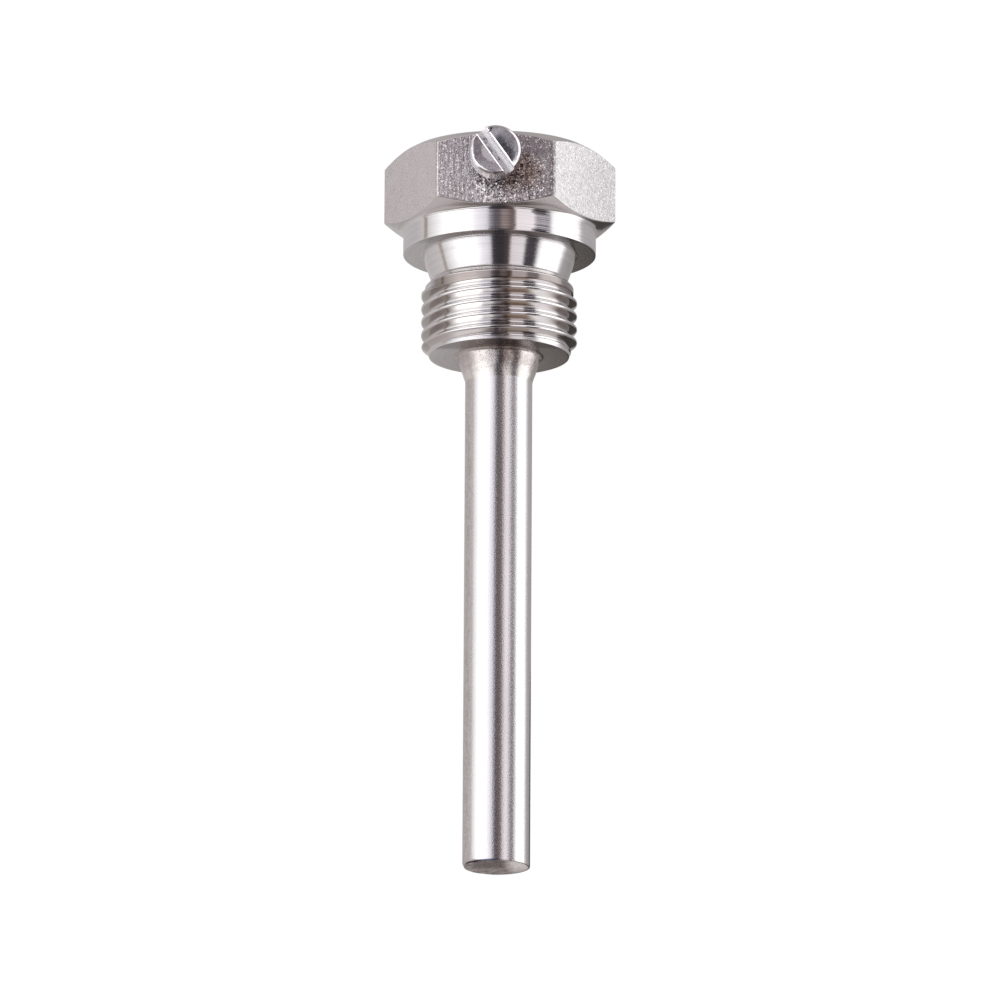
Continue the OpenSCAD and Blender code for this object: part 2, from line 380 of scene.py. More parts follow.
    # dark nicks down the right-hand corner, small dark specks on the left flat
    nick = N.math("MULTIPLY", N.map(x, 7.15, 7.6, 0, 0.9), N.math("MULTIPLY", front, N.map(N.noise(v, 2.3, 3.0, 0.6), 0.47, 0.55, 0, 1)))
    speck = N.math("MULTIPLY", left, N.map(N.noise(v, 3.4, 3.0, 0.65), 0.61, 0.68, 0, 0.55))
    col = N.mixc(N.math("MAXIMUM", nick, speck), col, (0.17, 0.15, 0.15))
    # painted glints: bright spots on the blasted grain
    dots = N.map(N.voronoi(v, 2.4), 0.31, 0.22, 0, 1)
    glint = N.math("MULTIPLY", dots, N.math("ADD", N.math("MULTIPLY", coarse, 0.45), N.math("ADD", N.math("MULTIPLY", front, 0.55), N.math("MULTIPLY", right, 0.6))))
    glint = N.math("MULTIPLY", N.math("MINIMUM", glint, 1.0), N.math("SUBTRACT", 1.0, N.math("MULTIPLY", screw_painted_shadow, 0.55)))
    col = N.mixc(glint, col, (1.0, 0.965, 0.98))
    N.t.links.new(col, N.bsdf.inputs["Base Color"])
    N.bsdf.inputs["Metallic"].default_value = 1.0
    rg = N.map(fine, 0.3, 0.7, 0.27, 0.37)
    rg = N.math("SUBTRACT", rg, N.math("MULTIPLY", front, 0.08))
    rg = N.math("SUBTRACT", rg, N.math("MULTIPLY", coarse, 0.08))
    rg = N.math("ADD", rg, N.math("MULTIPLY", glint, 0.28))
    N.t.links.new(rg, N.bsdf.inputs["Roughness"])
    N.t.links.new(nb, N.bsdf.inputs["Normal"])
    return N.mat


def mat_satin(name="tube_steel"):
    """Drawn tube, polished with a fine cross-scratched grain and small specks."""
    N = Nodes(name)
    v, x, y, z, r, a = N.coords()
    arc = N.math("MULTIPLY", a, 4.5)
    # scratches in two leaning directions, long and thin
    s1 = N.noise(N.vec(N.math("MULTIPLY", N.math("ADD", arc, N.math("MULTIPLY", z, 0.75)), 7.0), N.math("MULTIPLY", N.math("SUBTRACT", z, arc), 0.45), 0.0), 1.0, 2.0, 0.6)
    s2 = N.noise(N.vec(N.math("MULTIPLY", N.math("SUBTRACT", arc, N.math("MULTIPLY", z, 0.9)), 8.0), N.math("MULTIPLY", N.math("ADD", z, arc), 0.5), 3.0), 1.0, 2.0, 0.6)
    g = N.noise(v, 6.5, 3.0, 0.65)
    drawn = N.noise(N.vec(N.math("MULTIPLY", arc, 3.2), N.math("MULTIPLY", z, 0.03), 0.0), 1.0, 3.0, 0.6)
    broad = N.noise(N.vec(N.math("MULTIPLY", arc, 0.3), N.math("MULTIPLY", z, 0.06), 7.0), 1.0, 2.0, 0.5)
    specks = N.map(N.noise(v, 4.2, 3.0, 0.6), 0.68, 0.76, 0, 1)
    h = N.math("ADD", N.math("MULTIPLY", s1, 0.55), N.math("MULTIPLY", s2, 0.45))
    h = N.math("ADD", h, N.math("MULTIPLY", g, 0.95))
    h = N.math("ADD", h, N.math("MULTIPLY", drawn, 0.35))
    h = N.math("SUBTRACT", h, N.math("MULTIPLY", specks, 0.5))
    nb = N.bump(h, 0.25, 0.05)
    col = N.mixc(N.map(broad, 0.35, 0.7, 0, 1), (0.645, 0.623, 0.630), (0.595, 0.578, 0.588))
    # darker and browner along the left side, and heat tint at the tip
    side = N.math("MULTIPLY", N.map(x, -3.3, -3.7, 0, 1), N.map(N.noise(v, 2.2, 3.0, 0.65), 0.40, 0.60, 0.25, 0.85))
    col = N.mixc(N.math("MULTIPLY", side, 0.85), col, (0.42, 0.375, 0.345))
    left_side_dark_streaks = N.math("MULTIPLY", N.map(x, -3.3, -3.7, 0, 1), N.map(N.noise(N.vec(N.math("MULTIPLY", arc, 3.0), N.math("MULTIPLY", z, 0.35), 2.0), 1.0, 3.0, 0.7), 0.50, 0.62, 0, 0.5))
    col = N.mixc(left_side_dark_streaks, col, (0.33, 0.28, 0.255))
    tint = N.math("MULTIPLY", N.map(z, -83.97, -84.07, 0, 1), N.map(N.math("ADD", x, N.math("MULTIPLY", g, 2.0)), 2.2, 0.8, 0, 0.9))
    col = N.mixc(N.math("MULTIPLY", tint, N.map(x, -3.9, -3.4, 0, 1)), col, (0.10, 0.105, 0.20))
    col = N.mixc(N.math("MULTIPLY", specks, 0.75), col, (0.30, 0.27, 0.26))
    N.t.links.new(col, N.bsdf.inputs["Base Color"])
    N.bsdf.inputs["Metallic"].default_value = 1.0
    N.t.links.new(N.map(g, 0.3, 0.7, 0.12, 0.18), N.bsdf.inputs["Roughness"])
    N.t.links.new(nb, N.bsdf.inputs["Normal"])
    return N.mat


def mat_weld(name="weld_steel", dark=0.8):
    """Ground weld metal: mottled, duller, with small pits."""
    N = Nodes(name)
    v, x, y, z, r, a = N.coords()
    big = N.noise(v, 1.3, 3.0, 0.6, 0.4)
    g = N.noise(v, 5.5, 3.0, 0.65)
    fleck = N.map(N.noise(v, 5.0, 2.0, 0.6), 0.62, 0.68, 0, 1)
    ripple = N.noise(N.vec(N.math("MULTIPLY", a, 5.0), N.math("MULTIPLY", z, 1.2), 0.0), 1.0, 2.0, 0.5)
    pits = N.map(N.noise(v, 3.6, 3.0, 0.6), 0.62, 0.72, 0, 1)
    h = N.math("ADD", N.math("MULTIPLY", g, 0.6), N.math("MULTIPLY", ripple, 0.5))
    h = N.math("SUBTRACT", h, N.math("MULTIPLY", pits, 0.5))
    # the mottling fades out where the bead is blended into the tube
    fade = N.map(N.math("ADD", z, N.math("MULTIPLY", N.math("SUBTRACT", big, 0.5), 1.6)), -17.2, -15.2, 0.0, 1.0, kind="SMOOTHSTEP")
    nb = N.bump(N.math("MULTIPLY", h, N.math("ADD", 0.45, N.math("MULTIPLY", fade, 0.55))), 0.42, 0.07)
    col = N.mixc(N.math("MULTIPLY", N.map(big, 0.38, 0.62, 0, 1), fade), (0.645, 0.615, 0.60), (0.47, 0.43, 0.415))
    # warm oxide left in patches on the bead
    warm = N.math("MULTIPLY", N.map(N.noise(v, 0.8, 3.0, 0.6, 0.6), 0.30, 0.52, 0, 1), N.math("MULTIPLY", N.map(x, -0.2, 0.8, 0.22, 0.95), N.map(x, 3.4, 2.6, 0.25, 1.0)))
    col = N.mixc(N.math("MULTIPLY", warm, N.math("ADD", 0.3, N.math("MULTIPLY", fade, 0.7))), col, (0.25, 0.20, 0.18))
    col = N.mixc(N.math("MULTIPLY", N.math("MULTIPLY", N.math("MAXIMUM", pits, fleck), dark), N.math("ADD", 0.3, N.math("MULTIPLY", fade, 0.7))), col, (0.16, 0.14, 0.14))
    col = N.mixc(N.math("MULTIPLY", N.map(x, -2.6, -3.6, 0, 0.5), fade), col, (0.42, 0.375, 0.365))
    N.t.links.new(col, N.bsdf.inputs["Base Color"])
    N.bsdf.inputs["Metallic"].default_value = 1.0
    N.t.links.new(N.map(g, 0.3, 0.7, 0.18, 0.30), N.bsdf.inputs["Roughness"])
    N.t.links.new(nb, N.bsdf.inputs["Normal"])
    return N.mat


def mat_tip(name="tip_steel"):
    """End of the stem: coarse ground weld face with bright scratches and dark pits."""
    N = Nodes(name)
    v, x, y, z, r, a = N.coords()
    big = N.noise(v, 0.9, 3.0, 0.6, 0.5)
    g = N.noise(v, 3.4, 4.0, 0.7)
    sc = N.noise(N.vec(N.math("MULTIPLY", x, 1.2), N.math("MULTIPLY", y, 7.0), z), 1.0, 3.0, 0.6)
    pits = N.map(N.noise(v, 2.6, 3.0, 0.6), 0.58, 0.70, 0, 1)
    h = N.math("ADD", N.math("MULTIPLY", g, 0.9), N.math("MULTIPLY", sc, 0.7))
    h = N.math("SUBTRACT", h, N.math("MULTIPLY", pits, 0.8))
    nb = N.bump(h, 0.9, 0.14)
    col = N.mixc(N.map(big, 0.38, 0.60, 0, 1), (0.62, 0.57, 0.55), (0.33, 0.29, 0.28))
    col = N.mixc(N.math("MULTIPLY", pits, 0.75), col, (0.15, 0.13, 0.13))
    # darker and bluish along the camera side: painted shade over the heat tint
    xw = N.math("ADD", x, N.math("MULTIPLY", big, 2.0))
    camera_side_painted_shade = N.math("MULTIPLY", N.map(N.math("ADD", y, N.math("MULTIPLY", big, 2.0)), 2.0, 0.4, 0, 1, kind="SMOOTHSTEP"), N.math("MULTIPLY", N.map(xw, 2.6, 1.6, 0.0, 0.92), N.map(xw, -2.6, -1.8, 0.0, 1)))
    camera_side_painted_shade = N.math("MULTIPLY", camera_side_painted_shade, N.map(g, 0.40, 0.62, 1.0, 0.55))
    col = N.mixc(camera_side_painted_shade, col, (0.13, 0.105, 0.10))
    # paler towards the right front: painted highlight
    pale_painted_highlight = N.math("MULTIPLY", N.map(N.math("ADD", x, N.math("MULTIPLY", g, 1.2)), 1.7, 3.0, 0, 1), N.map(y, 3.6, -1.0, 0.35, 1))
    col = N.mixc(pale_painted_highlight, col, (0.99, 0.965, 0.96))
    N.t.links.new(col, N.bsdf.inputs["Base Color"])
    N.bsdf.inputs["Metallic"].default_value = 1.0
    N.t.links.new(N.math("ADD", N.map(g, 0.3, 0.7, 0.22, 0.38), N.math("MULTIPLY", pale_painted_highlight, 0.26)), N.bsdf.inputs["Roughness"])
    N.t.links.new(nb, N.bsdf.inputs["Normal"])
    return N.mat


def mat_screw(name="screw_steel"):
    """Machine screw: turned rings and handling marks on the face, light scratches."""
    N = Nodes(name)
    v, x, y, z, r, a = N.coords()
    xx = N.math("SUBTRACT", x, SCREW_X)
    zz = N.math("SUBTRACT", z, SCREW_Z)
    rs = N.math("SQRT", N.math("ADD", N.math("MULTIPLY", xx, xx), N.math("MULTIPLY", zz, zz)))
    ring = N.noise(N.vec(rs, N.math("MULTIPLY", y, 1.0), 0.0), 4.5, 2.0, 0.6)
    g = N.noise(v, 6.0, 3.0, 0.65)
    m = N.noise(v, 2.0, 3.0, 0.6, 0.3)
    sc = N.noise(N.vec(N.math("MULTIPLY", N.math("ADD", xx, zz), 6.0), N.math("MULTIPLY", N.math("SUBTRACT", xx, zz), 0.7), y), 1.0, 2.0, 0.5)
    pits = N.map(N.noise(v, 3.1, 3.0, 0.6), 0.62, 0.70, 0, 1)
    h = N.math("ADD", N.math("MULTIPLY", ring, 0.9), N.math("MULTIPLY", g, 0.7))
    h = N.math("ADD", h, N.math("MULTIPLY", sc, 0.45))
    h = N.math("ADD", h, N.math("MULTIPLY", m, 1.6))
    h = N.math("SUBTRACT", h, N.math("MULTIPLY", pits, 0.5))
    nb = N.bump(h, 0.11, 0.06)
    col = N.mixc(N.map(m, 0.38, 0.62, 0, 1), (0.66, 0.64, 0.66), (0.50, 0.475, 0.495))
    # the face is painted brighter where the driver has rubbed it, a painted highlight on the rubbed wear, and painted
    # darker on the other land, a painted shade
    face = N.map(y, SCREW_Y - 2.3, SCREW_Y - 2.4, 0, 1)
    face = N.math("MULTIPLY", face, N.map(rs, 3.16, 3.12, 0, 1))
    sl, cl = math.sin(math.radians(55.0)), math.cos(math.radians(55.0))
    c = N.math("ADD", N.math("MULTIPLY", xx, sl), N.math("MULTIPLY", zz, cl))
    rub_painted_highlight = N.math("MULTIPLY", N.map(N.math("ADD", rs, N.math("MULTIPLY", m, 0.5)), 2.25, 1.95, 0.0, 1), N.map(c, -0.5, -0.8, 0, 1))
    rub_painted_highlight = N.math("MAXIMUM", rub_painted_highlight, N.math("MULTIPLY", N.map(c, -0.5, -0.8, 0, 1), N.map(zz, -0.8, -2.2, 0, 0.75)))
    along = N.math("ABSOLUTE", N.math("SUBTRACT", N.math("MULTIPLY", xx, cl), N.math("MULTIPLY", zz, sl)))
    dull_land_painted_shade = N.math("MULTIPLY", N.map(c, 0.5, 0.8, 0, 1), N.map(N.math("ADD", c, N.math("MULTIPLY", m, 0.6)), 2.5, 1.7, 0.18, 1, kind="SMOOTHSTEP"))
    dull_land_painted_shade = N.math("MULTIPLY", dull_land_painted_shade, N.map(N.math("ADD", along, N.math("MULTIPLY", m, 0.6)), 2.1, 1.2, 0.12, 1, kind="SMOOTHSTEP"))
    dull_land_painted_shade = N.math("MULTIPLY", dull_land_painted_shade, N.map(N.math("SUBTRACT", rs, N.math("MULTIPLY", m, 0.4)), 3.0, 2.6, 0.4, 1))
    col = N.mixc(N.math("MULTIPLY", N.math("MULTIPLY", rub_painted_highlight, face), 0.9), col, (0.97, 0.96, 1.0))
    col = N.mixc(N.math("MULTIPLY", N.math("MULTIPLY", dull_land_painted_shade, face), 0.82), col, (0.135, 0.135, 0.175))
    # painted highlight on the outer part of the upper right land
    outer_land_highlight = N.map(N.math("ADD", c, N.math("MULTIPLY", m, 0.6)), 1.7, 2.6, 0, 0.85, kind="SMOOTHSTEP")
    outer_land_highlight = N.math("MULTIPLY", N.math("MULTIPLY", outer_land_highlight, face), N.map(zz, 1.6, 0.6, 0, 1))
    col = N.mixc(outer_land_highlight, col, (0.95, 0.95, 1.0))
    col = N.mixc(N.math("MULTIPLY", pits, 0.7), col, (0.22, 0.21, 0.23))
    # painted highlight on the head's side at its lower left
    flank = N.math("MULTIPLY", N.map(rs, 3.36, 3.40, 0, 1), N.math("MULTIPLY", N.map(zz, -0.2, -1.2, 0, 1), N.map(xx, 1.2, -0.6, 0, 0.9)))
    flank = N.math("MULTIPLY", flank, N.map(y, SCREW_Y - 2.20, SCREW_Y - 2.14, 0, 1))
    col = N.mixc(flank, col, (1.0, 0.98, 0.95))
    # the slot's lips are painted bright: painted highlight along the burnished lips
    lip_painted_highlight = N.math("MAXIMUM", N.math("MULTIPLY", N.map(c, -0.93, -0.89, 0, 1), N.map(c, -0.72, -0.75, 0, 1)), N.math("MULTIPLY", N.map(c, 0.68, 0.72, 0, 1), N.map(c, 0.91, 0.87, 0, 1)))
    lip_painted_highlight = N.math("MULTIPLY", lip_painted_highlight, N.map(y, SCREW_Y - 2.25, SCREW_Y - 2.32, 0, 1))
    lip_painted_highlight = N.math("MULTIPLY", lip_painted_highlight, N.map(rs, 3.42, 3.36, 0, 1))
    col = N.mixc(lip_painted_highlight, col, (1.0, 0.99, 1.0))
    # a nick with a turned-up burr at the upper end of the right lip, drawn as a ring of painted shade round a painted
    # highlight
    al = N.math("SUBTRACT", N.math("MULTIPLY", xx, cl), N.math("MULTIPLY", zz, sl))
    bc = N.math("SUBTRACT", c, 0.86)
    ba = N.math("ADD", al, 2.92)
    bd = N.math("SQRT", N.math("ADD", N.math("MULTIPLY", bc, bc), N.math("MULTIPLY", ba, ba)))
    col = N.mixc(N.math("MULTIPLY", N.math("MULTIPLY", N.map(bd, 0.30, 0.36, 0, 1), N.map(bd, 0.56, 0.50, 0, 0.9)), face), col, (0.035, 0.03, 0.035))
    col = N.mixc(N.math("MULTIPLY", N.map(bd, 0.30, 0.24, 0, 1), face), col, (0.95, 0.93, 0.95))
    N.t.links.new(col, N.bsdf.inputs["Base Color"])
    N.bsdf.inputs["Metallic"].default_value = 1.0
    # the left land and the top of the right one are more satin
    rr = N.map(g, 0.3, 0.7, 0.10, 0.18)
    low_l = N.map(c, -0.5, -0.8, 0, 1)
    top_r = N.math("MULTIPLY", N.map(c, 0.5, 0.8, 0, 1), N.math("MAXIMUM", N.map(N.math("ADD", zz, m), 1.3, 2.3, 0, 1), N.map(N.math("ADD", xx, m), 2.5, 3.1, 0, 0.8)))
    rr = N.math("ADD", rr, N.math("MULTIPLY", face, N.math("ADD", N.math("MULTIPLY", low_l, 0.055), N.math("ADD", N.math("MULTIPLY", rub_painted_highlight, 0.10), N.math("MULTIPLY", top_r, 0.13)))))
    rr = N.math("ADD", rr, N.math("MULTIPLY", lip_painted_highlight, 0.15))
    N.t.links.new(rr, N.bsdf.inputs["Roughness"])
    N.t.links.new(nb, N.bsdf.inputs["Normal"])
    return N.mat


def mat_slot(name="slot_steel"):
    """Sawn floor of the driver slot: pale, rough, scratched along its length."""
    N = Nodes(name)
    v, x, y, z, r, a = N.coords()
    ca, sa = math.cos(math.radians(-55.0)), math.sin(math.radians(-55.0))
    xx = N.math("SUBTRACT", x, SCREW_X)
    zz = N.math("SUBTRACT", z, SCREW_Z)
    along = N.math("ADD", N.math("MULTIPLY", xx, ca), N.math("MULTIPLY", zz, sa))
    across = N.math("SUBTRACT", N.math("MULTIPLY", zz, ca), N.math("MULTIPLY", xx, sa))
    saw = N.noise(N.vec(N.math("MULTIPLY", across, 9.0), N.math("MULTIPLY", along, 0.8), 0.0), 1.0, 3.0, 0.6)
    g = N.noise(v, 4.0, 3.0, 0.65, 0.5)
    marks = N.map(N.noise(N.vec(N.math("MULTIPLY", across, 3.2), N.math("MULTIPLY", along, 1.2), 4.0), 1.0, 3.0, 0.65, 0.8), 0.55, 0.62, 0, 1)
    h = N.math("ADD", N.math("MULTIPLY", saw, 0.9), N.math("MULTIPLY", g, 0.25))
    nb = N.bump(h, 0.22, 0.08)
    col = N.mixc(N.map(g, 0.35, 0.65, 0, 1), (0.78, 0.77, 0.79), (0.58, 0.56, 0.58))
    col = N.mixc(N.math("MULTIPLY", marks, 0.85), col, (0.20, 0.18, 0.20))
    # a paler, rougher band along the upper side, with a white line where it starts: painted light and a painted
    # highlight
    slot_band_painted_light = N.map(N.math("ADD", across, N.math("MULTIPLY", saw, 0.1)), 0.08, 0.16, 0, 1)
    col = N.mixc(N.math("MULTIPLY", slot_band_painted_light, 0.9), col, N.mixc(N.map(saw, 0.4, 0.6, 0, 1), (1.0, 0.99, 1.0), (0.86, 0.85, 0.87)))
    edge = N.math("MULTIPLY", N.map(across, 0.30, 0.34, 0, 1), N.map(across, 0.44, 0.40, 0, 1))
    col = N.mixc(edge, col, (1.0, 1.0, 1.0))
    N.t.links.new(col, N.bsdf.inputs["Base Color"])
    N.bsdf.inputs["Metallic"].default_value = 1.0
    N.t.links.new(N.math("ADD", N.map(g, 0.3, 0.7, 0.36, 0.44), N.math("MULTIPLY", slot_band_painted_light, 0.16)), N.bsdf.inputs["Roughness"])
    N.t.links.new(nb, N.bsdf.inputs["Normal"])
    return N.mat


M_TURNED = mat_turned()
M_BLAST = mat_blasted()
M_TUBE = mat_satin()
M_WELD = mat_weld()
M_TIP = mat_tip()
M_SCREW = mat_screw()
M_SLOT = mat_slot()


# ------------------------------------------------------------------ head
def thread_radius(theta, z, crest_z, theta0, pitch, major):
    """Rounded 55-degree pipe thread, right hand: radius at angle theta and height z."""
    rr = 0.137329 * pitch
    half = math.radians(27.5)
    minor = major - 0.640327 * pitch
    t = rr * math.cos(half)
    zc = crest_z + pitch * (theta - theta0) / (2 * PI)
    u = np.mod(z - zc + pitch / 2, pitch) - pitch / 2
    a = np.abs(u)
    b = pitch / 2 - a
    crest = major - rr + np.sqrt(np.maximum(rr * rr - np.minimum(a, t) ** 2, 0))
    root = minor + rr - np.sqrt(np.maximum(rr * rr - np.minimum(b, t) ** 2, 0))
    r_t = major - rr + rr * math.sin(half)
    flank = r_t - (a - t) / math.tan(half)
    return np.where(a <= t, crest, np.where(b <= t, root, flank))


def hex_radius(th):
    """Radius of the hexagon with slightly rounded corners."""
    rho = 0.30
    k = np.round(th / (PI / 3)) * (PI / 3)
    phi = th - k
    flat = 13.5 / np.cos(PI / 6 - np.abs(phi))
    c = (13.5 - rho) / math.cos(PI / 6)
    q = rho * rho - (c * np.sin(phi)) ** 2
    arc = c * np.cos(phi) + np.sqrt(np.maximum(q, 0))
    ok = np.abs(c * np.sin(phi)) <= rho * 0.5
    return np.where(ok, np.minimum(arc, flat), flat)


def lathe_helix(name, th, low, high, zrange, radius, rows, mats):
    """Closed skin of revolution whose middle part follows the thread's own helix, so its ridges stay unbroken."""
    z0, z1 = zrange
    dz = PITCH / rows
    n = len(th)
    ring = []
    idx = {}
    co = []

    def put(r, z, j):
        key = (round(r, 5), round(z, 5), j % n)
        if key not in idx:
            t = th[j % n]
            idx[key] = len(co)
            co.append((r * math.cos(t), r * math.sin(t), z))
        return idx[key]

    cols = []
    tcol = np.concatenate([th, [2 * PI]])
    steps = int((z1 - z0) / dz) + rows + 4
    for j, t in enumerate(tcol):
        zs = z0 - PITCH - dz + dz * np.arange(steps + rows) + PITCH * t / (2 * PI)
        # rows bunch at the crests and roots, where the profile is round
        ph = (zs + 6.66) / PITCH - (t - math.radians(2.56)) / (2 * PI)
        zs = zs - PITCH * np.interp(zs, [-6.2, -5.2], [0.55, 0.0]) * np.sin(4 * PI * ph) / (4 * PI)
        zs = np.clip(zs, z0, z1)
        rs = radius(np.full(len(zs), t % (2 * PI)), zs)
        jj = j % n
        col = [put(float(r(jj)) if callable(r) else float(r), float(z(jj)) if callable(z) else float(z), jj) for r, z in low]
        col += [put(float(r), float(z), jj) for r, z in zip(rs, zs)]
        col += [put(float(r(jj)) if callable(r) else float(r), float(z(jj)) if callable(z) else float(z), jj) for r, z in high]
        cols.append(col)
    faces = []
    m = len(cols[0])
    for j in range(n):
        a, b = cols[j], cols[j + 1]
        for i in range(m):
            k = (i + 1) % m
            q = [a[i], b[i], b[k], a[k]]
            u = []
            for v in q:
                if v not in u:
                    u.append(v)
            if len(u) >= 3:
                faces.append(tuple(u))
    return new_object(name, co, faces, mats)


def make_head():
    base = np.arange(288) * (2 * PI / 288)
    extra = [math.radians(60 * k + d) for k in range(6) for d in (-0.8, -0.56, -0.42, -0.28, -0.14, 0.14, 0.28, 0.42, 0.56, 0.8)]
    th = np.unique(np.round(np.concatenate([base, np.mod(extra, 2 * PI)]), 9))
    R = hex_radius(th)
    low, high = [], []
    # bore from the top of the part down to its shoulder, socket, end face, pilot
    for r, z in ((3.5, 4.0), (3.5, 0.0), (3.5, -4.1), (4.55, -4.1), (4.55, -9.0), (4.55, -14.06), (4.60, -14.1)):
        low.append((r, z))
    for r in (5.0, 5.8, 7.0, 8.2, 9.0, 9.2):
        low.append((r, -14.1))
    low += [(9.33, -14.1), (9.385, -14.085), (9.425, -14.05), (9.445, -14.0), (9.45, -13.93), (9.45, -13.84)]

    # thread envelope: chamfered start, and grooves that run out before the neck
    ez = [-14.0, -13.62, -13.55, -13.20, -12.80, -12.72, -5.60, -5.22, -5.12, -4.02, -3.90, -3.80, -3.74, -3.66]
    er = [9.45, 9.45, 9.49, 9.95, 10.48, 10.52, 10.52, 10.47, 10.40, 9.40, 9.30, 9.26, 9.17, 9.12]

    def radius(t, z):
        tt = np.where(t < math.radians(2.56) - PI, t + 2 * PI, t)
        r = thread_radius(tt, z, -6.66, math.radians(2.56), PITCH, 10.4775)
        env = np.interp(z, ez, er)
        # grooves get shallow towards the neck
        fill = np.interp(z, [-6.15, -5.35], [8.0, 10.6])
        r = np.where(z > -6.4, smax(r, fill, 0.03), r)
        r = smin(r, env, 0.03)
        # the last turn is cut down to a plain land beside the neck, fading in from the left
        d = np.degrees(np.mod(t, 2 * PI))
        q = np.clip((d - 185.0) / 40.0, 0, 1)
        edge = np.where(d < 185.0, -5.90 + 0.70 * d / 185.0, -5.20 - 0.70 * q * q * (3 - 2 * q))
        r = smin(r, 9.98 + 0.7 * np.clip((edge - z) / 0.28, 0, 1), 0.03)
        floor = np.interp(z, [-13.74, -13.62, -13.5], [9.445, 9.445, 9.0])
        return smax(r, floor, 0.02)

    zrange = (-13.74, -3.66)
    high.append((9.125, -3.62))
    for f in (0.02, 0.1, 0.25, 0.4, 0.55, 0.7, 0.85, 1.0):
        high.append((9.14 + (10.36 - 9.14) * f, -3.60 + (3.60 - 0.22) * f))
    # fillet into the sealing face
    c, rho = (10.36 + 0.16 * math.cos(math.radians(20)), -0.22), 0.16
    for q in (0.15, 0.3, 0.45, 0.6, 0.75, 0.9):
        ang = math.radians(200 - 20 + (0) ) - q * math.radians(70) + math.radians(20)
        high.append((c[0] + rho * math.cos(ang), min(-0.003, -0.22 + 0.22 * (math.sin(q * math.radians(70) + math.radians(20)) - math.sin(math.radians(20))) / (1 - math.sin(math.radians(20))))))
    high.append((10.57, 0.0))
    for r in (10.75, 11.2, 11.8, 12.4, 12.84):
        high.append((r, 0.0))
    # collar, its edge breaks, and the small fillet where the lower chamfer starts
    high += [(12.90, 0.012), (12.937, 0.045), (12.95, 0.09)]
    for z in (0.3, 1.0, 2.0, 2.8, 2.93):
        high.append((12.95, z))
    high += [(12.955, 2.99), (12.972, 3.04), (13.0, 3.085), (13.04, 3.12)]
    tb, tt = math.tan(math.radians(27)), math.tan(math.radians(30))
    zb = 4.62 - (HEX_R - R) * tb
    ztp = 12.10 + (HEX_R - R) * tt
    r0 = 12.73
    z_cone = lambda r: 4.62 - (HEX_R - r) * tb
    start = 3.12 + 0.0
    r_start = HEX_R - (4.62 - 3.16) / tb
    r_start = max(r_start, 13.06)
    for f in (0.02, 0.3, 0.6, 0.85, 1.0):
        high.append((lambda j, f=f: r_start + (R[j] - 0.07 - r_start) * f, lambda j, f=f: z_cone(r_start + (R[j] - 0.07 - r_start) * f)))
    high.append((lambda j: R[j] - 0.02, lambda j: zb[j] + 0.012))
    high.append((lambda j: R[j], lambda j: zb[j] + 0.06))
    for f in (0.03, 0.2, 0.4, 0.6, 0.8, 0.97):
        high.append((lambda j: R[j], lambda j, f=f: zb[j] + 0.06 + (ztp[j] - 0.12 - zb[j]) * f))
    high.append((lambda j: R[j], lambda j: ztp[j] - 0.06))
    high.append((lambda j: R[j] - 0.02, lambda j: ztp[j] - 0.005))
    for f in (0.0, 0.25, 0.5, 0.8, 1.0):
        high.append((lambda j, f=f: (R[j] - 0.07) * (1 - f) + 12.46 * f, lambda j, f=f: 12.10 + (HEX_R - ((R[j] - 0.07) * (1 - f) + 12.46 * f)) * tt))
    high += [(12.40, 13.93), (12.32, 13.945), (12.2, 13.95)]
    for r in (11.0, 9.0, 7.0, 5.2, 4.12):
        high.append((r, 13.95))
    high += [(4.04, 13.94), (3.98, 13.90), (3.56, 13.48), (3.51, 13.42), (3.5, 13.34), (3.5, 11.5), (3.5, 9.7), (3.5, 7.9)]
    ob = lathe_helix("head_body", th, low, high, zrange, radius, 32, [M_TURNED, M_BLAST])
    # tapped cross hole with a small countersink
    cth = np.arange(64) * (2 * PI / 64)
    prof = [(2.55, -14.0), (2.32, -13.52), (2.0, -13.2), (2.0, -2.6)]
    crings = [np.stack([SCREW_X + r * np.cos(cth), np.full(64, y), 9.7 + r * np.sin(cth)], -1) for r, y in prof]
    faces = grid_faces(4, 64, False) + [tuple(range(64)), tuple(range(3 * 64, 4 * 64))]
    cut = new_object("hole_cutter", np.concatenate(crings), faces, [M_TURNED])
    boolean_cut(ob, cut)
    me = ob.data
    for p in me.polygons:
        c, nn = p.center / MM, p.normal
        rad = math.hypot(c.x, c.y)
        p.material_index = 1 if (abs(nn.z) < 0.06 and rad > 13.3 and c.z > 3.4) else 0
    shade(ob, math.radians(50))
    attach(ob, "well")
    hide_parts("head")
    return ob


head = make_head()


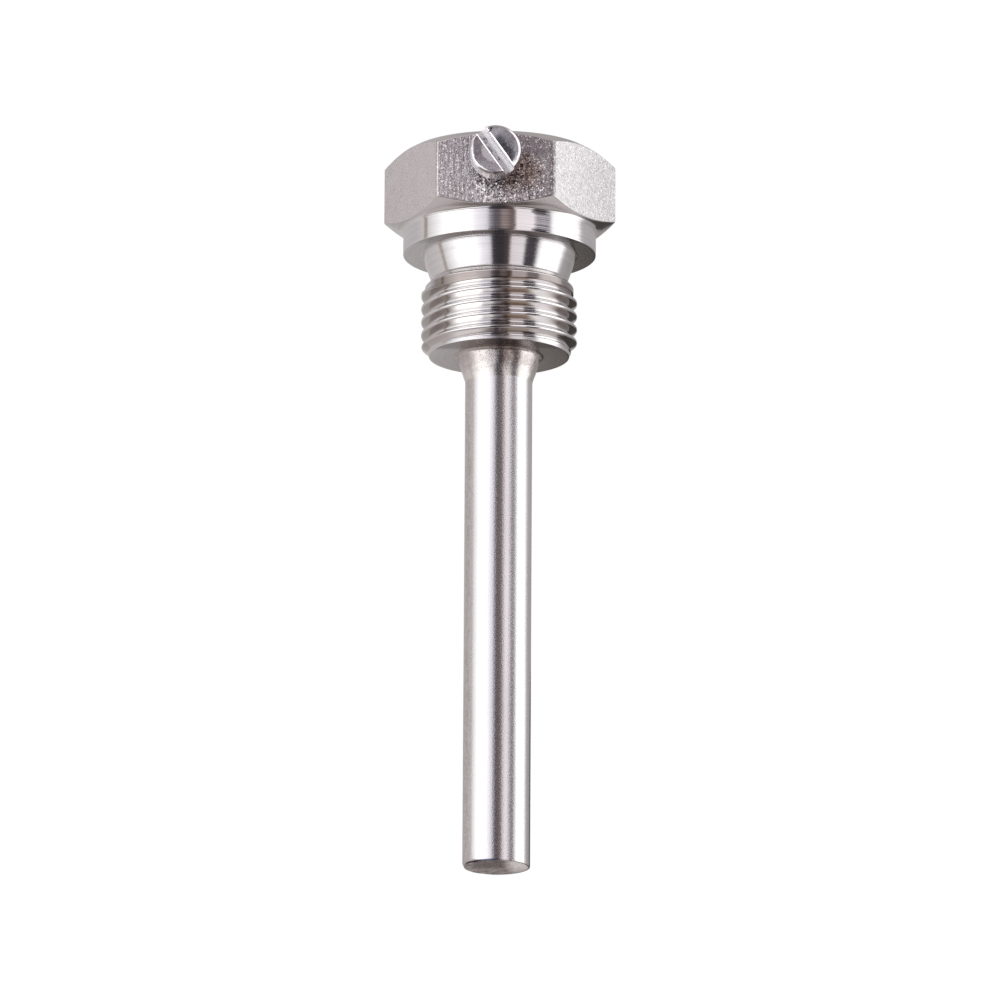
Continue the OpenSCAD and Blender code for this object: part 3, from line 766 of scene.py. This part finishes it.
# ------------------------------------------------------------------ stem tube
def make_tube():
    n = 256
    th = np.arange(n) * (2 * PI / n)
    rings = []

    def ring(r, z):
        rings.append(np.stack([r * np.cos(th), r * np.sin(th), z * np.ones(n)], -1))

    ring(3.5, -4.1); ring(4.45, -4.1); ring(4.5, -4.15); ring(4.5, -13.0)
    for z in np.linspace(-14.0, -83.45, 60):
        ring(4.5, z)
    # the ground edge is softer on one side
    soft = 0.13 + 0.34 * np.maximum(-np.cos(th), 0) ** 1.5
    low = -84.24 + 0.13 * np.maximum(-np.cos(th), 0) ** 2 + 0.16 * np.exp(-((np.cos(th) + 0.72) / 0.24) ** 2) * np.clip(-4 * np.sin(th), 0, 1)
    for q in (0, 0.17, 0.33, 0.5, 0.67, 0.83, 1.0):
        ang = q * PI / 2
        ring(4.5 - soft + soft * math.cos(ang), low + soft - soft * math.sin(ang))
    ring(3.85, -84.24); ring(3.8, -84.20); ring(3.8, -81.3); ring(3.5, -81.3); ring(3.5, -40.0)
    m = len(rings)
    ob = new_object("stem", np.concatenate(rings), grid_faces(m, n, True), [M_TUBE])
    shade(ob, math.radians(50))
    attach(ob, "well")
    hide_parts("stem_tube")
    return ob


stem = make_tube()


# ------------------------------------------------------------------ root weld
def make_weld():
    n = 192
    th = np.arange(n) * (2 * PI / n)
    ts = np.concatenate([[0.0, 0.012, 0.026, 0.042, 0.06, 0.08, 0.1, 0.12, 0.145, 0.17], np.linspace(0.2, 1.0, 28)])
    prof_t = (np.array([14.10, 14.15, 14.25, 14.40, 14.55, 14.75, 15.2, 15.8, 16.3, 16.7, 17.1, 17.4, 17.65, 17.8]) - 14.1) / 3.7
    prof_r = np.array([6.05, 5.86, 5.70, 5.58, 5.515, 5.455, 5.33, 5.14, 4.96, 4.81, 4.67, 4.58, 4.525, 4.504])
    nz = value_noise((len(ts), n), (6, 22), 3)
    toe = value_noise((1, n), (1, 26), 5)[0]
    rings = []
    for i, t in enumerate(ts):
        r = np.interp(t, prof_t, prof_r)
        env = min(1.0, t * 6) * min(1.0, (1 - t) * 5 + 0.0)
        rr = r + 0.028 * env * nz[i]
        z = -14.1 - 3.7 * t - 0.10 * toe * t ** 3
        rr = np.maximum(rr, 4.502)
        rings.append(np.stack([rr * np.cos(th), rr * np.sin(th), z * np.ones(n)], -1))
    rings[0][:, 2] = -14.10
    # inner wall on the tube
    for z in (-17.6, -14.1):
        rings.append(np.stack([4.5 * np.cos(th), 4.5 * np.sin(th), z * np.ones(n)], -1))
    m = len(rings)
    ob = new_object("weld_bead", np.concatenate(rings), grid_faces(m, n, True), [M_WELD])
    shade(ob, math.radians(60))
    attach(ob, "well")
    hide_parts("root_weld")
    return ob


weld = make_weld()


# ------------------------------------------------------------------ tip plug
def make_tip():
    n = 128
    th = np.arange(n) * (2 * PI / n)
    rs = np.concatenate([np.linspace(0.25, 4.1, 26), [4.22, 4.30]])
    nz = value_noise((len(rs), n), (7, 16), 11)
    edge = value_noise((1, n), (1, 22), 12)[0]
    rings = []
    for i, r in enumerate(rs):
        f = r / 4.3
        fade = min(1.0, r / 1.5)
        z = -84.285 + 0.012 * nz[i] * fade + 0.02 * f ** 6
        rad = r + 0.05 * edge * f ** 8
        rings.append(np.stack([rad * np.cos(th), rad * np.sin(th), z * np.ones(n)], -1))
    rings[-2][:, 2] += 0.02
    rings[-1][:, 2] = -84.20 + 0.01 * edge
    # back of the weld layer, then the spigot inside the tube
    for r, z in ((4.05, -84.15), (3.79, -84.15), (3.79, -81.32), (3.6, -81.3), (0.25, -81.3)):
        rings.append(np.stack([r * np.cos(th), r * np.sin(th), z * np.ones(n)], -1))
    m = len(rings)
    co = np.concatenate(rings + [np.array([[0, 0, -84.285], [0, 0, -81.3]])])
    faces = grid_faces(m, n, False)
    a, b = m * n, m * n + 1
    faces += [(a, (j + 1) % n, j) for j in range(n)]
    faces += [(b, (m - 1) * n + j, (m - 1) * n + (j + 1) % n) for j in range(n)]
    co[:, 2] = np.maximum(co[:, 2], -84.3)
    ob = new_object("tip_weld", co, faces, [M_TIP])
    shade(ob, math.radians(50))
    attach(ob, "well")
    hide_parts("tip_plug")
    return ob


tip = make_tip()


# ------------------------------------------------------------------ clamp screw
SLOT_ANG = math.radians(-55.0)


def screw_point(a, b, w):
    """Local (a across, b up, w out along the axis) to the row frame, in mm."""
    return np.stack([SCREW_X + a, SCREW_Y - w, SCREW_Z + b], -1)


def make_screw():
    n = 128
    th = np.arange(n) * (2 * PI / n)
    rings = []

    def ring(r, w):
        r, w = r * np.ones(n), w * np.ones(n)
        rings.append(screw_point(r * np.cos(th), r * np.sin(th), w))

    # shank with its thread, tip first
    for r in (0.4, 1.0, 1.38):
        ring(r, -12.0)
    ring(1.45, -11.97)
    for w in np.arange(-11.9, -0.55, 0.05):
        # right hand about the outward axis: the helix climbs as the angle grows
        t = thread_radius(-th, w, -1.0, 0.0, 0.7, 1.945)
        t = np.maximum(t, 1.53)
        env = np.interp(w, [-12.0, -11.5, -0.9, -0.6], [1.42, 1.96, 1.96, 1.62])
        ring(smin(t, env, 0.02), w)
    ring(1.62, -0.5); ring(1.62, -0.12); ring(1.70, -0.02); ring(1.85, 0.0)
    # head: underside, side, rim
    ring(2.6, 0.0); ring(3.30, 0.0); ring(3.42, 0.02); ring(3.485, 0.09); ring(3.495, 0.2)
    ring(3.47, 0.8); ring(3.44, 1.5); ring(3.415, 2.15); ring(3.41, 2.20)
    # chamfered rim with softened edges, then a face that falls slightly outwards round a shallow dish
    ring(3.395, 2.245); ring(3.36, 2.29); ring(3.15, 2.495); ring(3.12, 2.515)
    # each land leans in towards the slot, the lower left one more
    c = np.cos(th) * math.sin(-SLOT_ANG) + np.sin(th) * math.cos(SLOT_ANG)
    lean = np.where(c < 0, -0.062 * c, 0.045 * c)
    for r in (3.0, 2.8, 2.6, 2.4, 2.2, 2.05, 1.95):
        ring(r, np.minimum(2.45 + lean * r - 0.035 * (r - 1.9), 2.598))
    for r in (1.85, 1.6, 1.3, 1.0, 0.6, 0.3):
        ring(r, 2.45 + lean * r)
    m = len(rings)
    co = np.concatenate(rings + [screw_point(np.array([0.0]), np.array([0.0]), np.array([-12.0])), screw_point(np.array([0.0]), np.array([0.0]), np.array([2.45]))])
    faces = grid_faces(m, n, False)
    a, b = m * n, m * n + 1
    faces += [(a, (j + 1) % n, j) for j in range(n)]
    faces += [(b, (m - 1) * n + j, (m - 1) * n + (j + 1) % n) for j in range(n)]
    ob = new_object("clamp_screw_body", co, faces, [M_SCREW])
    # driver slot: the cutter's mouth flares, which rounds the slot's lips
    s = np.array([math.cos(SLOT_ANG), math.sin(SLOT_ANG)])
    p = np.array([-s[1], s[0]])          # across the slot, towards the upper right
    lo, hi = 0.75, 0.72                  # half widths at the floor, lower left and upper right
    # both lips are broken at 30 degrees
    prof = [(-lo, 1.30), (-lo + 0.05, 1.22), (hi - 0.05, 1.22), (hi, 1.30), (hi, 2.405),
            (hi + 1.20, 2.405 + 0.6928), (-lo - 1.20, 2.425 + 0.6928), (-lo, 2.425)]
    k = len(prof)
    co = []
    for along in (-4.5, 4.5):
        for c, w in prof:
            q = s * along + p * c
            co.append(screw_point(q[0], q[1], w))
    faces = [tuple(range(k)), tuple(range(k, 2 * k))] + [(i, (i + 1) % k, k + (i + 1) % k, k + i) for i in range(k)]
    cut = new_object("slot_cutter", np.array(co), faces, [M_SCREW])
    boolean_cut(ob, cut)
    me = ob.data
    me.materials.clear()
    me.materials.append(M_SCREW)
    me.materials.append(M_SLOT)
    for f in me.polygons:
        depth = SCREW_Y - f.center.y / MM
        f.material_index = 1 if (1.15 < depth < 1.35 and abs(f.normal.y) > 0.5) else 0
    shade(ob, math.radians(14))
    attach(ob, "clamp_screw")
    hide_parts("clamp_screw")
    return ob


screw = make_screw()


# ------------------------------------------------------------------ stage
def make_floor():
    s, z = 3.0, -0.75
    mesh = bpy.data.meshes.new("floor")
    mesh.from_pydata([(-s, -s, z), (s, -s, z), (s, s, z), (-s, s, z)], [], [(0, 1, 2, 3)])
    N = Nodes("floor_pale")
    v, x, y, zc, r, a = N.coords()
    c = N.mixc(N.noise(v, 0.002, 2.0), (0.86, 0.86, 0.855), (0.90, 0.90, 0.895))
    N.t.links.new(c, N.bsdf.inputs["Base Color"])
    N.bsdf.inputs["Roughness"].default_value = 0.9
    mesh.materials.append(N.mat)
    ob = bpy.data.objects.new("floor", mesh)
    bpy.context.scene.collection.objects.link(ob)
    ob.visible_glossy = False
    ob.visible_diffuse = False
    ob.visible_shadow = False
    return ob


floor = make_floor()


def make_card():
    """Low card close behind the part, pale on the left and dark on the right: it is what the downward faces show."""
    az = math.radians(2.56)
    right = Vector((math.cos(az), math.sin(az), 0))
    back = Vector((-math.sin(az), math.cos(az), 0))
    c = back * 0.150
    mesh = bpy.data.meshes.new("card")
    pts = [c + right * x + Vector((0, 0, z)) for x, z in ((-0.09, -0.150), (0.09, -0.150), (0.09, -0.020), (-0.09, -0.020))]
    mesh.from_pydata([tuple(p) for p in pts], [], [(0, 1, 2, 3)])
    N = Nodes("card_grade")
    v, x, y, z, r, a = N.coords()
    side = N.math("ADD", N.math("MULTIPLY", x, math.cos(az)), N.math("MULTIPLY", y, math.sin(az)))
    k = N.map(side, -16.0, 16.0, 0, 1)
    col = N.ramp(k, [(0.0, (0.56, 0.54, 0.53)), (0.28, (0.48, 0.46, 0.45)), (0.5, (0.31, 0.28, 0.265)), (0.72, (0.19, 0.17, 0.16)), (1.0, (0.078, 0.072, 0.068))])
    e = N.add("ShaderNodeEmission")
    N.t.links.new(col, e.inputs["Color"])
    N.t.links.new(e.outputs[0], N.out.inputs[0])
    mesh.materials.append(N.mat)
    ob = bpy.data.objects.new("card", mesh)
    bpy.context.scene.collection.objects.link(ob)
    ob.visible_camera = False
    ob.visible_diffuse = False
    ob.visible_shadow = False
    return ob


card = make_card()


def make_world():
    """Light tent: tall white walls left and right, a dark gap on the camera's side, greyer behind, above and below."""
    w = bpy.data.worlds.new("tent")
    bpy.context.scene.world = w
    w.use_nodes = True
    N = Nodes.__new__(Nodes)
    N.mat, N.t = None, w.node_tree
    N.t.nodes.clear()
    out = N.t.nodes.new("ShaderNodeOutputWorld")
    bg = N.t.nodes.new("ShaderNodeBackground")
    N.t.links.new(bg.outputs[0], out.inputs[0])
    tc = N.add("ShaderNodeTexCoord")
    s = N.add("ShaderNodeSeparateXYZ")
    N.t.links.new(tc.outputs["Generated"], s.inputs[0])
    x, y, z = s.outputs
    az = N.math("ARCTAN2", x, N.math("MULTIPLY", y, -1.0))
    az = N.math("SUBTRACT", az, math.radians(2.56))
    p = N.math("ADD", N.math("MULTIPLY", az, 1 / (2 * PI)), 0.5)
    p = N.math("FRACT", p)
    K = 1 / 2.0                          # colours are stored at half strength, and doubled by the background

    def st(deg, c):
        c = c if hasattr(c, "__len__") else (c, c, c)
        return ((deg + 180) / 360, tuple(q * K for q in c))

    left = [
        st(-104, (0.86, 0.83, 0.82)), st(-101.5, (0.52, 0.47, 0.39)), st(-97.5, (0.52, 0.47, 0.39)), st(-96, (0.98, 0.96, 0.98)),
        st(-90, 1.15), st(-80, 1.45), st(-66, 1.95), st(-40, 1.95), st(-28, (1.45, 1.43, 1.50)),
    ]
    # upper walls: the gap in front holds something paler, and the right-hand dark panel has ended
    hi = N.ramp(p, [
        st(-180, (0.52, 0.50, 0.50)), st(-145, (0.67, 0.64, 0.66)), st(-118, (0.72, 0.69, 0.71))] + left + [
        st(-18, (1.20, 1.18, 1.26)), st(-13.5, (0.90, 0.88, 0.96)), st(-10.5, (0.50, 0.47, 0.52)), st(-6, (0.22, 0.20, 0.235)),
        st(-1, (0.22, 0.19, 0.20)), st(4, (0.51, 0.42, 0.41)), st(8, (0.50, 0.40, 0.39)), st(13.5, (0.30, 0.23, 0.22)), st(18.8, (0.22, 0.17, 0.16)),
        st(20.8, (1.34, 1.27, 1.30)), st(43, (1.42, 1.35, 1.38)), st(46, (0.76, 0.72, 0.76)), st(63.5, (0.76, 0.73, 0.77)), st(66.5, 1.55),
        st(76, 1.95), st(100, 1.9), st(111, 1.3), st(116, (0.68, 0.66, 0.68)), st(150, (0.55, 0.53, 0.54)), st(179.9, (0.40, 0.38, 0.38)),
    ])
    lo = N.ramp(p, [
        st(-180, (0.62, 0.59, 0.57)), st(-172, (0.64, 0.61, 0.60)), st(-140, (0.70, 0.67, 0.67))] + left + [
        st(-18, (1.20, 1.18, 1.26)), st(-13.8, (0.98, 0.96, 1.04)), st(-12.2, (0.06, 0.058, 0.072)), st(2, (0.05, 0.045, 0.05)),
        st(13.5, (0.09, 0.065, 0.065)), st(16.6, (0.16, 0.12, 0.115)), st(18.2, (1.12, 1.06, 1.08)), st(39.8, (1.20, 1.16, 1.18)),
        st(41.8, (0.09, 0.08, 0.095)), st(60.3, (0.08, 0.075, 0.09)), st(64.0, 1.2), st(72, 1.95), st(108, 1.9), st(116, (0.85, 0.82, 0.84)),
        st(121, (0.55, 0.53, 0.54)), st(140, (0.44, 0.42, 0.41)), st(168, (0.40, 0.38, 0.37)), st(179.9, (0.45, 0.43, 0.41)),
    ])
    floor = N.ramp(p, [
        st(-180, (0.62, 0.57, 0.54)), st(-150, (0.72, 0.68, 0.67)), st(-105, (0.66, 0.61, 0.59)), st(-70, (0.40, 0.35, 0.33)), st(-28, (0.27, 0.23, 0.22)),
        st(-14, (0.14, 0.12, 0.13)), st(-8, (0.06, 0.055, 0.065)), st(8, (0.07, 0.06, 0.065)), st(18, (0.24, 0.20, 0.19)), st(38, (0.28, 0.24, 0.22)),
        st(46, (0.16, 0.14, 0.13)), st(58, (0.20, 0.17, 0.16)), st(70, (0.38, 0.34, 0.32)), st(108, (0.46, 0.42, 0.40)), st(128, (0.62, 0.58, 0.57)), st(150, (0.76, 0.72, 0.71)), st(168, (0.66, 0.62, 0.60)), st(179.9, (0.60, 0.56, 0.53)),
    ])
    # high up the tent is greyer
    up = N.ramp(p, [
        st(-180, (0.50, 0.46, 0.46)), st(-150, (0.56, 0.51, 0.50)), st(-112, (0.66, 0.61, 0.59)), st(-96, 1.6), st(-80, 2.0), st(-28, 2.0),
        st(-17, 1.8), st(-11, (0.80, 0.77, 0.80)), st(-2, (0.42, 0.38, 0.39)), st(12, (0.42, 0.38, 0.39)), st(22, (1.7, 1.62, 1.64)), st(64, 2.0), st(104, 2.0),
        st(116, (0.66, 0.61, 0.60)), st(150, (0.52, 0.48, 0.47)), st(179.9, (0.50, 0.46, 0.46)),
    ])
    c = N.mixc(N.map(z, 0.235, 0.265, 0, 1), lo, hi)
    c = N.mixc(N.map(z, 0.48, 0.62, 0, 1), c, up)
    front = N.map(y, -0.1, -0.35, 0, 1)
    c = N.mixc(N.map(N.math("SUBTRACT", z, N.math("MULTIPLY", front, 0.035)), -0.53, -0.63, 0, 1), c, floor)
    c = N.mixc(N.map(z, 0.86, 0.95, 0, 1), c, tuple(q * K for q in (0.52, 0.50, 0.51)))
    lp = N.add("ShaderNodeLightPath")
    c = N.mixc(lp.outputs["Is Camera Ray"], c, (0.5, 0.5, 0.5))
    N.t.links.new(c, bg.inputs["Color"])
    bg.inputs["Strength"].default_value = 2.0
    w.cycles.sampling_method = "MANUAL"
    w.cycles.sample_map_resolution = 1024
    return w


make_world()

sc = bpy.context.scene
sc.cycles.use_denoising = False
sc.view_settings.view_transform = "Standard"
sc.view_settings.look = "None"
sc.view_settings.exposure = 0.0
sc.view_settings.gamma = 1.0


# ------------------------------------------------------------------ camera
def make_camera():
    az, el, dist, roll = math.radians(2.561), math.radians(-14.442), 1.600, math.radians(0.316)
    target = Vector((0.0, 0.0, -0.036))
    d = Vector((math.sin(az) * math.cos(el), -math.cos(az) * math.cos(el), math.sin(el)))
    loc = target + d * dist
    right = Vector((math.cos(az), math.sin(az), 0))
    up = d.cross(right)
    if up.z < 0:
        up = -up
    fpx = 7.481 * 1600
    # the target sits at pixel (498.14, 515.39) of the 1000 x 1000 frame
    fwd = (-d + right * (1.86 / fpx) + up * (15.39 / fpx)).normalized()
    r2 = fwd.cross(up).normalized()
    u2 = r2.cross(fwd).normalized()
    rr = r2 * math.cos(roll) + u2 * math.sin(roll)
    uu = u2 * math.cos(roll) - r2 * math.sin(roll)
    cam = bpy.data.cameras.new("camera")
    cam.sensor_width = 36.0
    cam.lens = 36.0 * fpx / 1000.0
    cam.clip_start, cam.clip_end = 0.01, 100.0
    ob = bpy.data.objects.new("camera", cam)
    bpy.context.scene.collection.objects.link(ob)
    m = Matrix((rr, uu, -fwd)).transposed().to_4x4()
    m.translation = loc
    ob.matrix_world = m
    bpy.context.scene.camera = ob
    return ob


camera = make_camera()
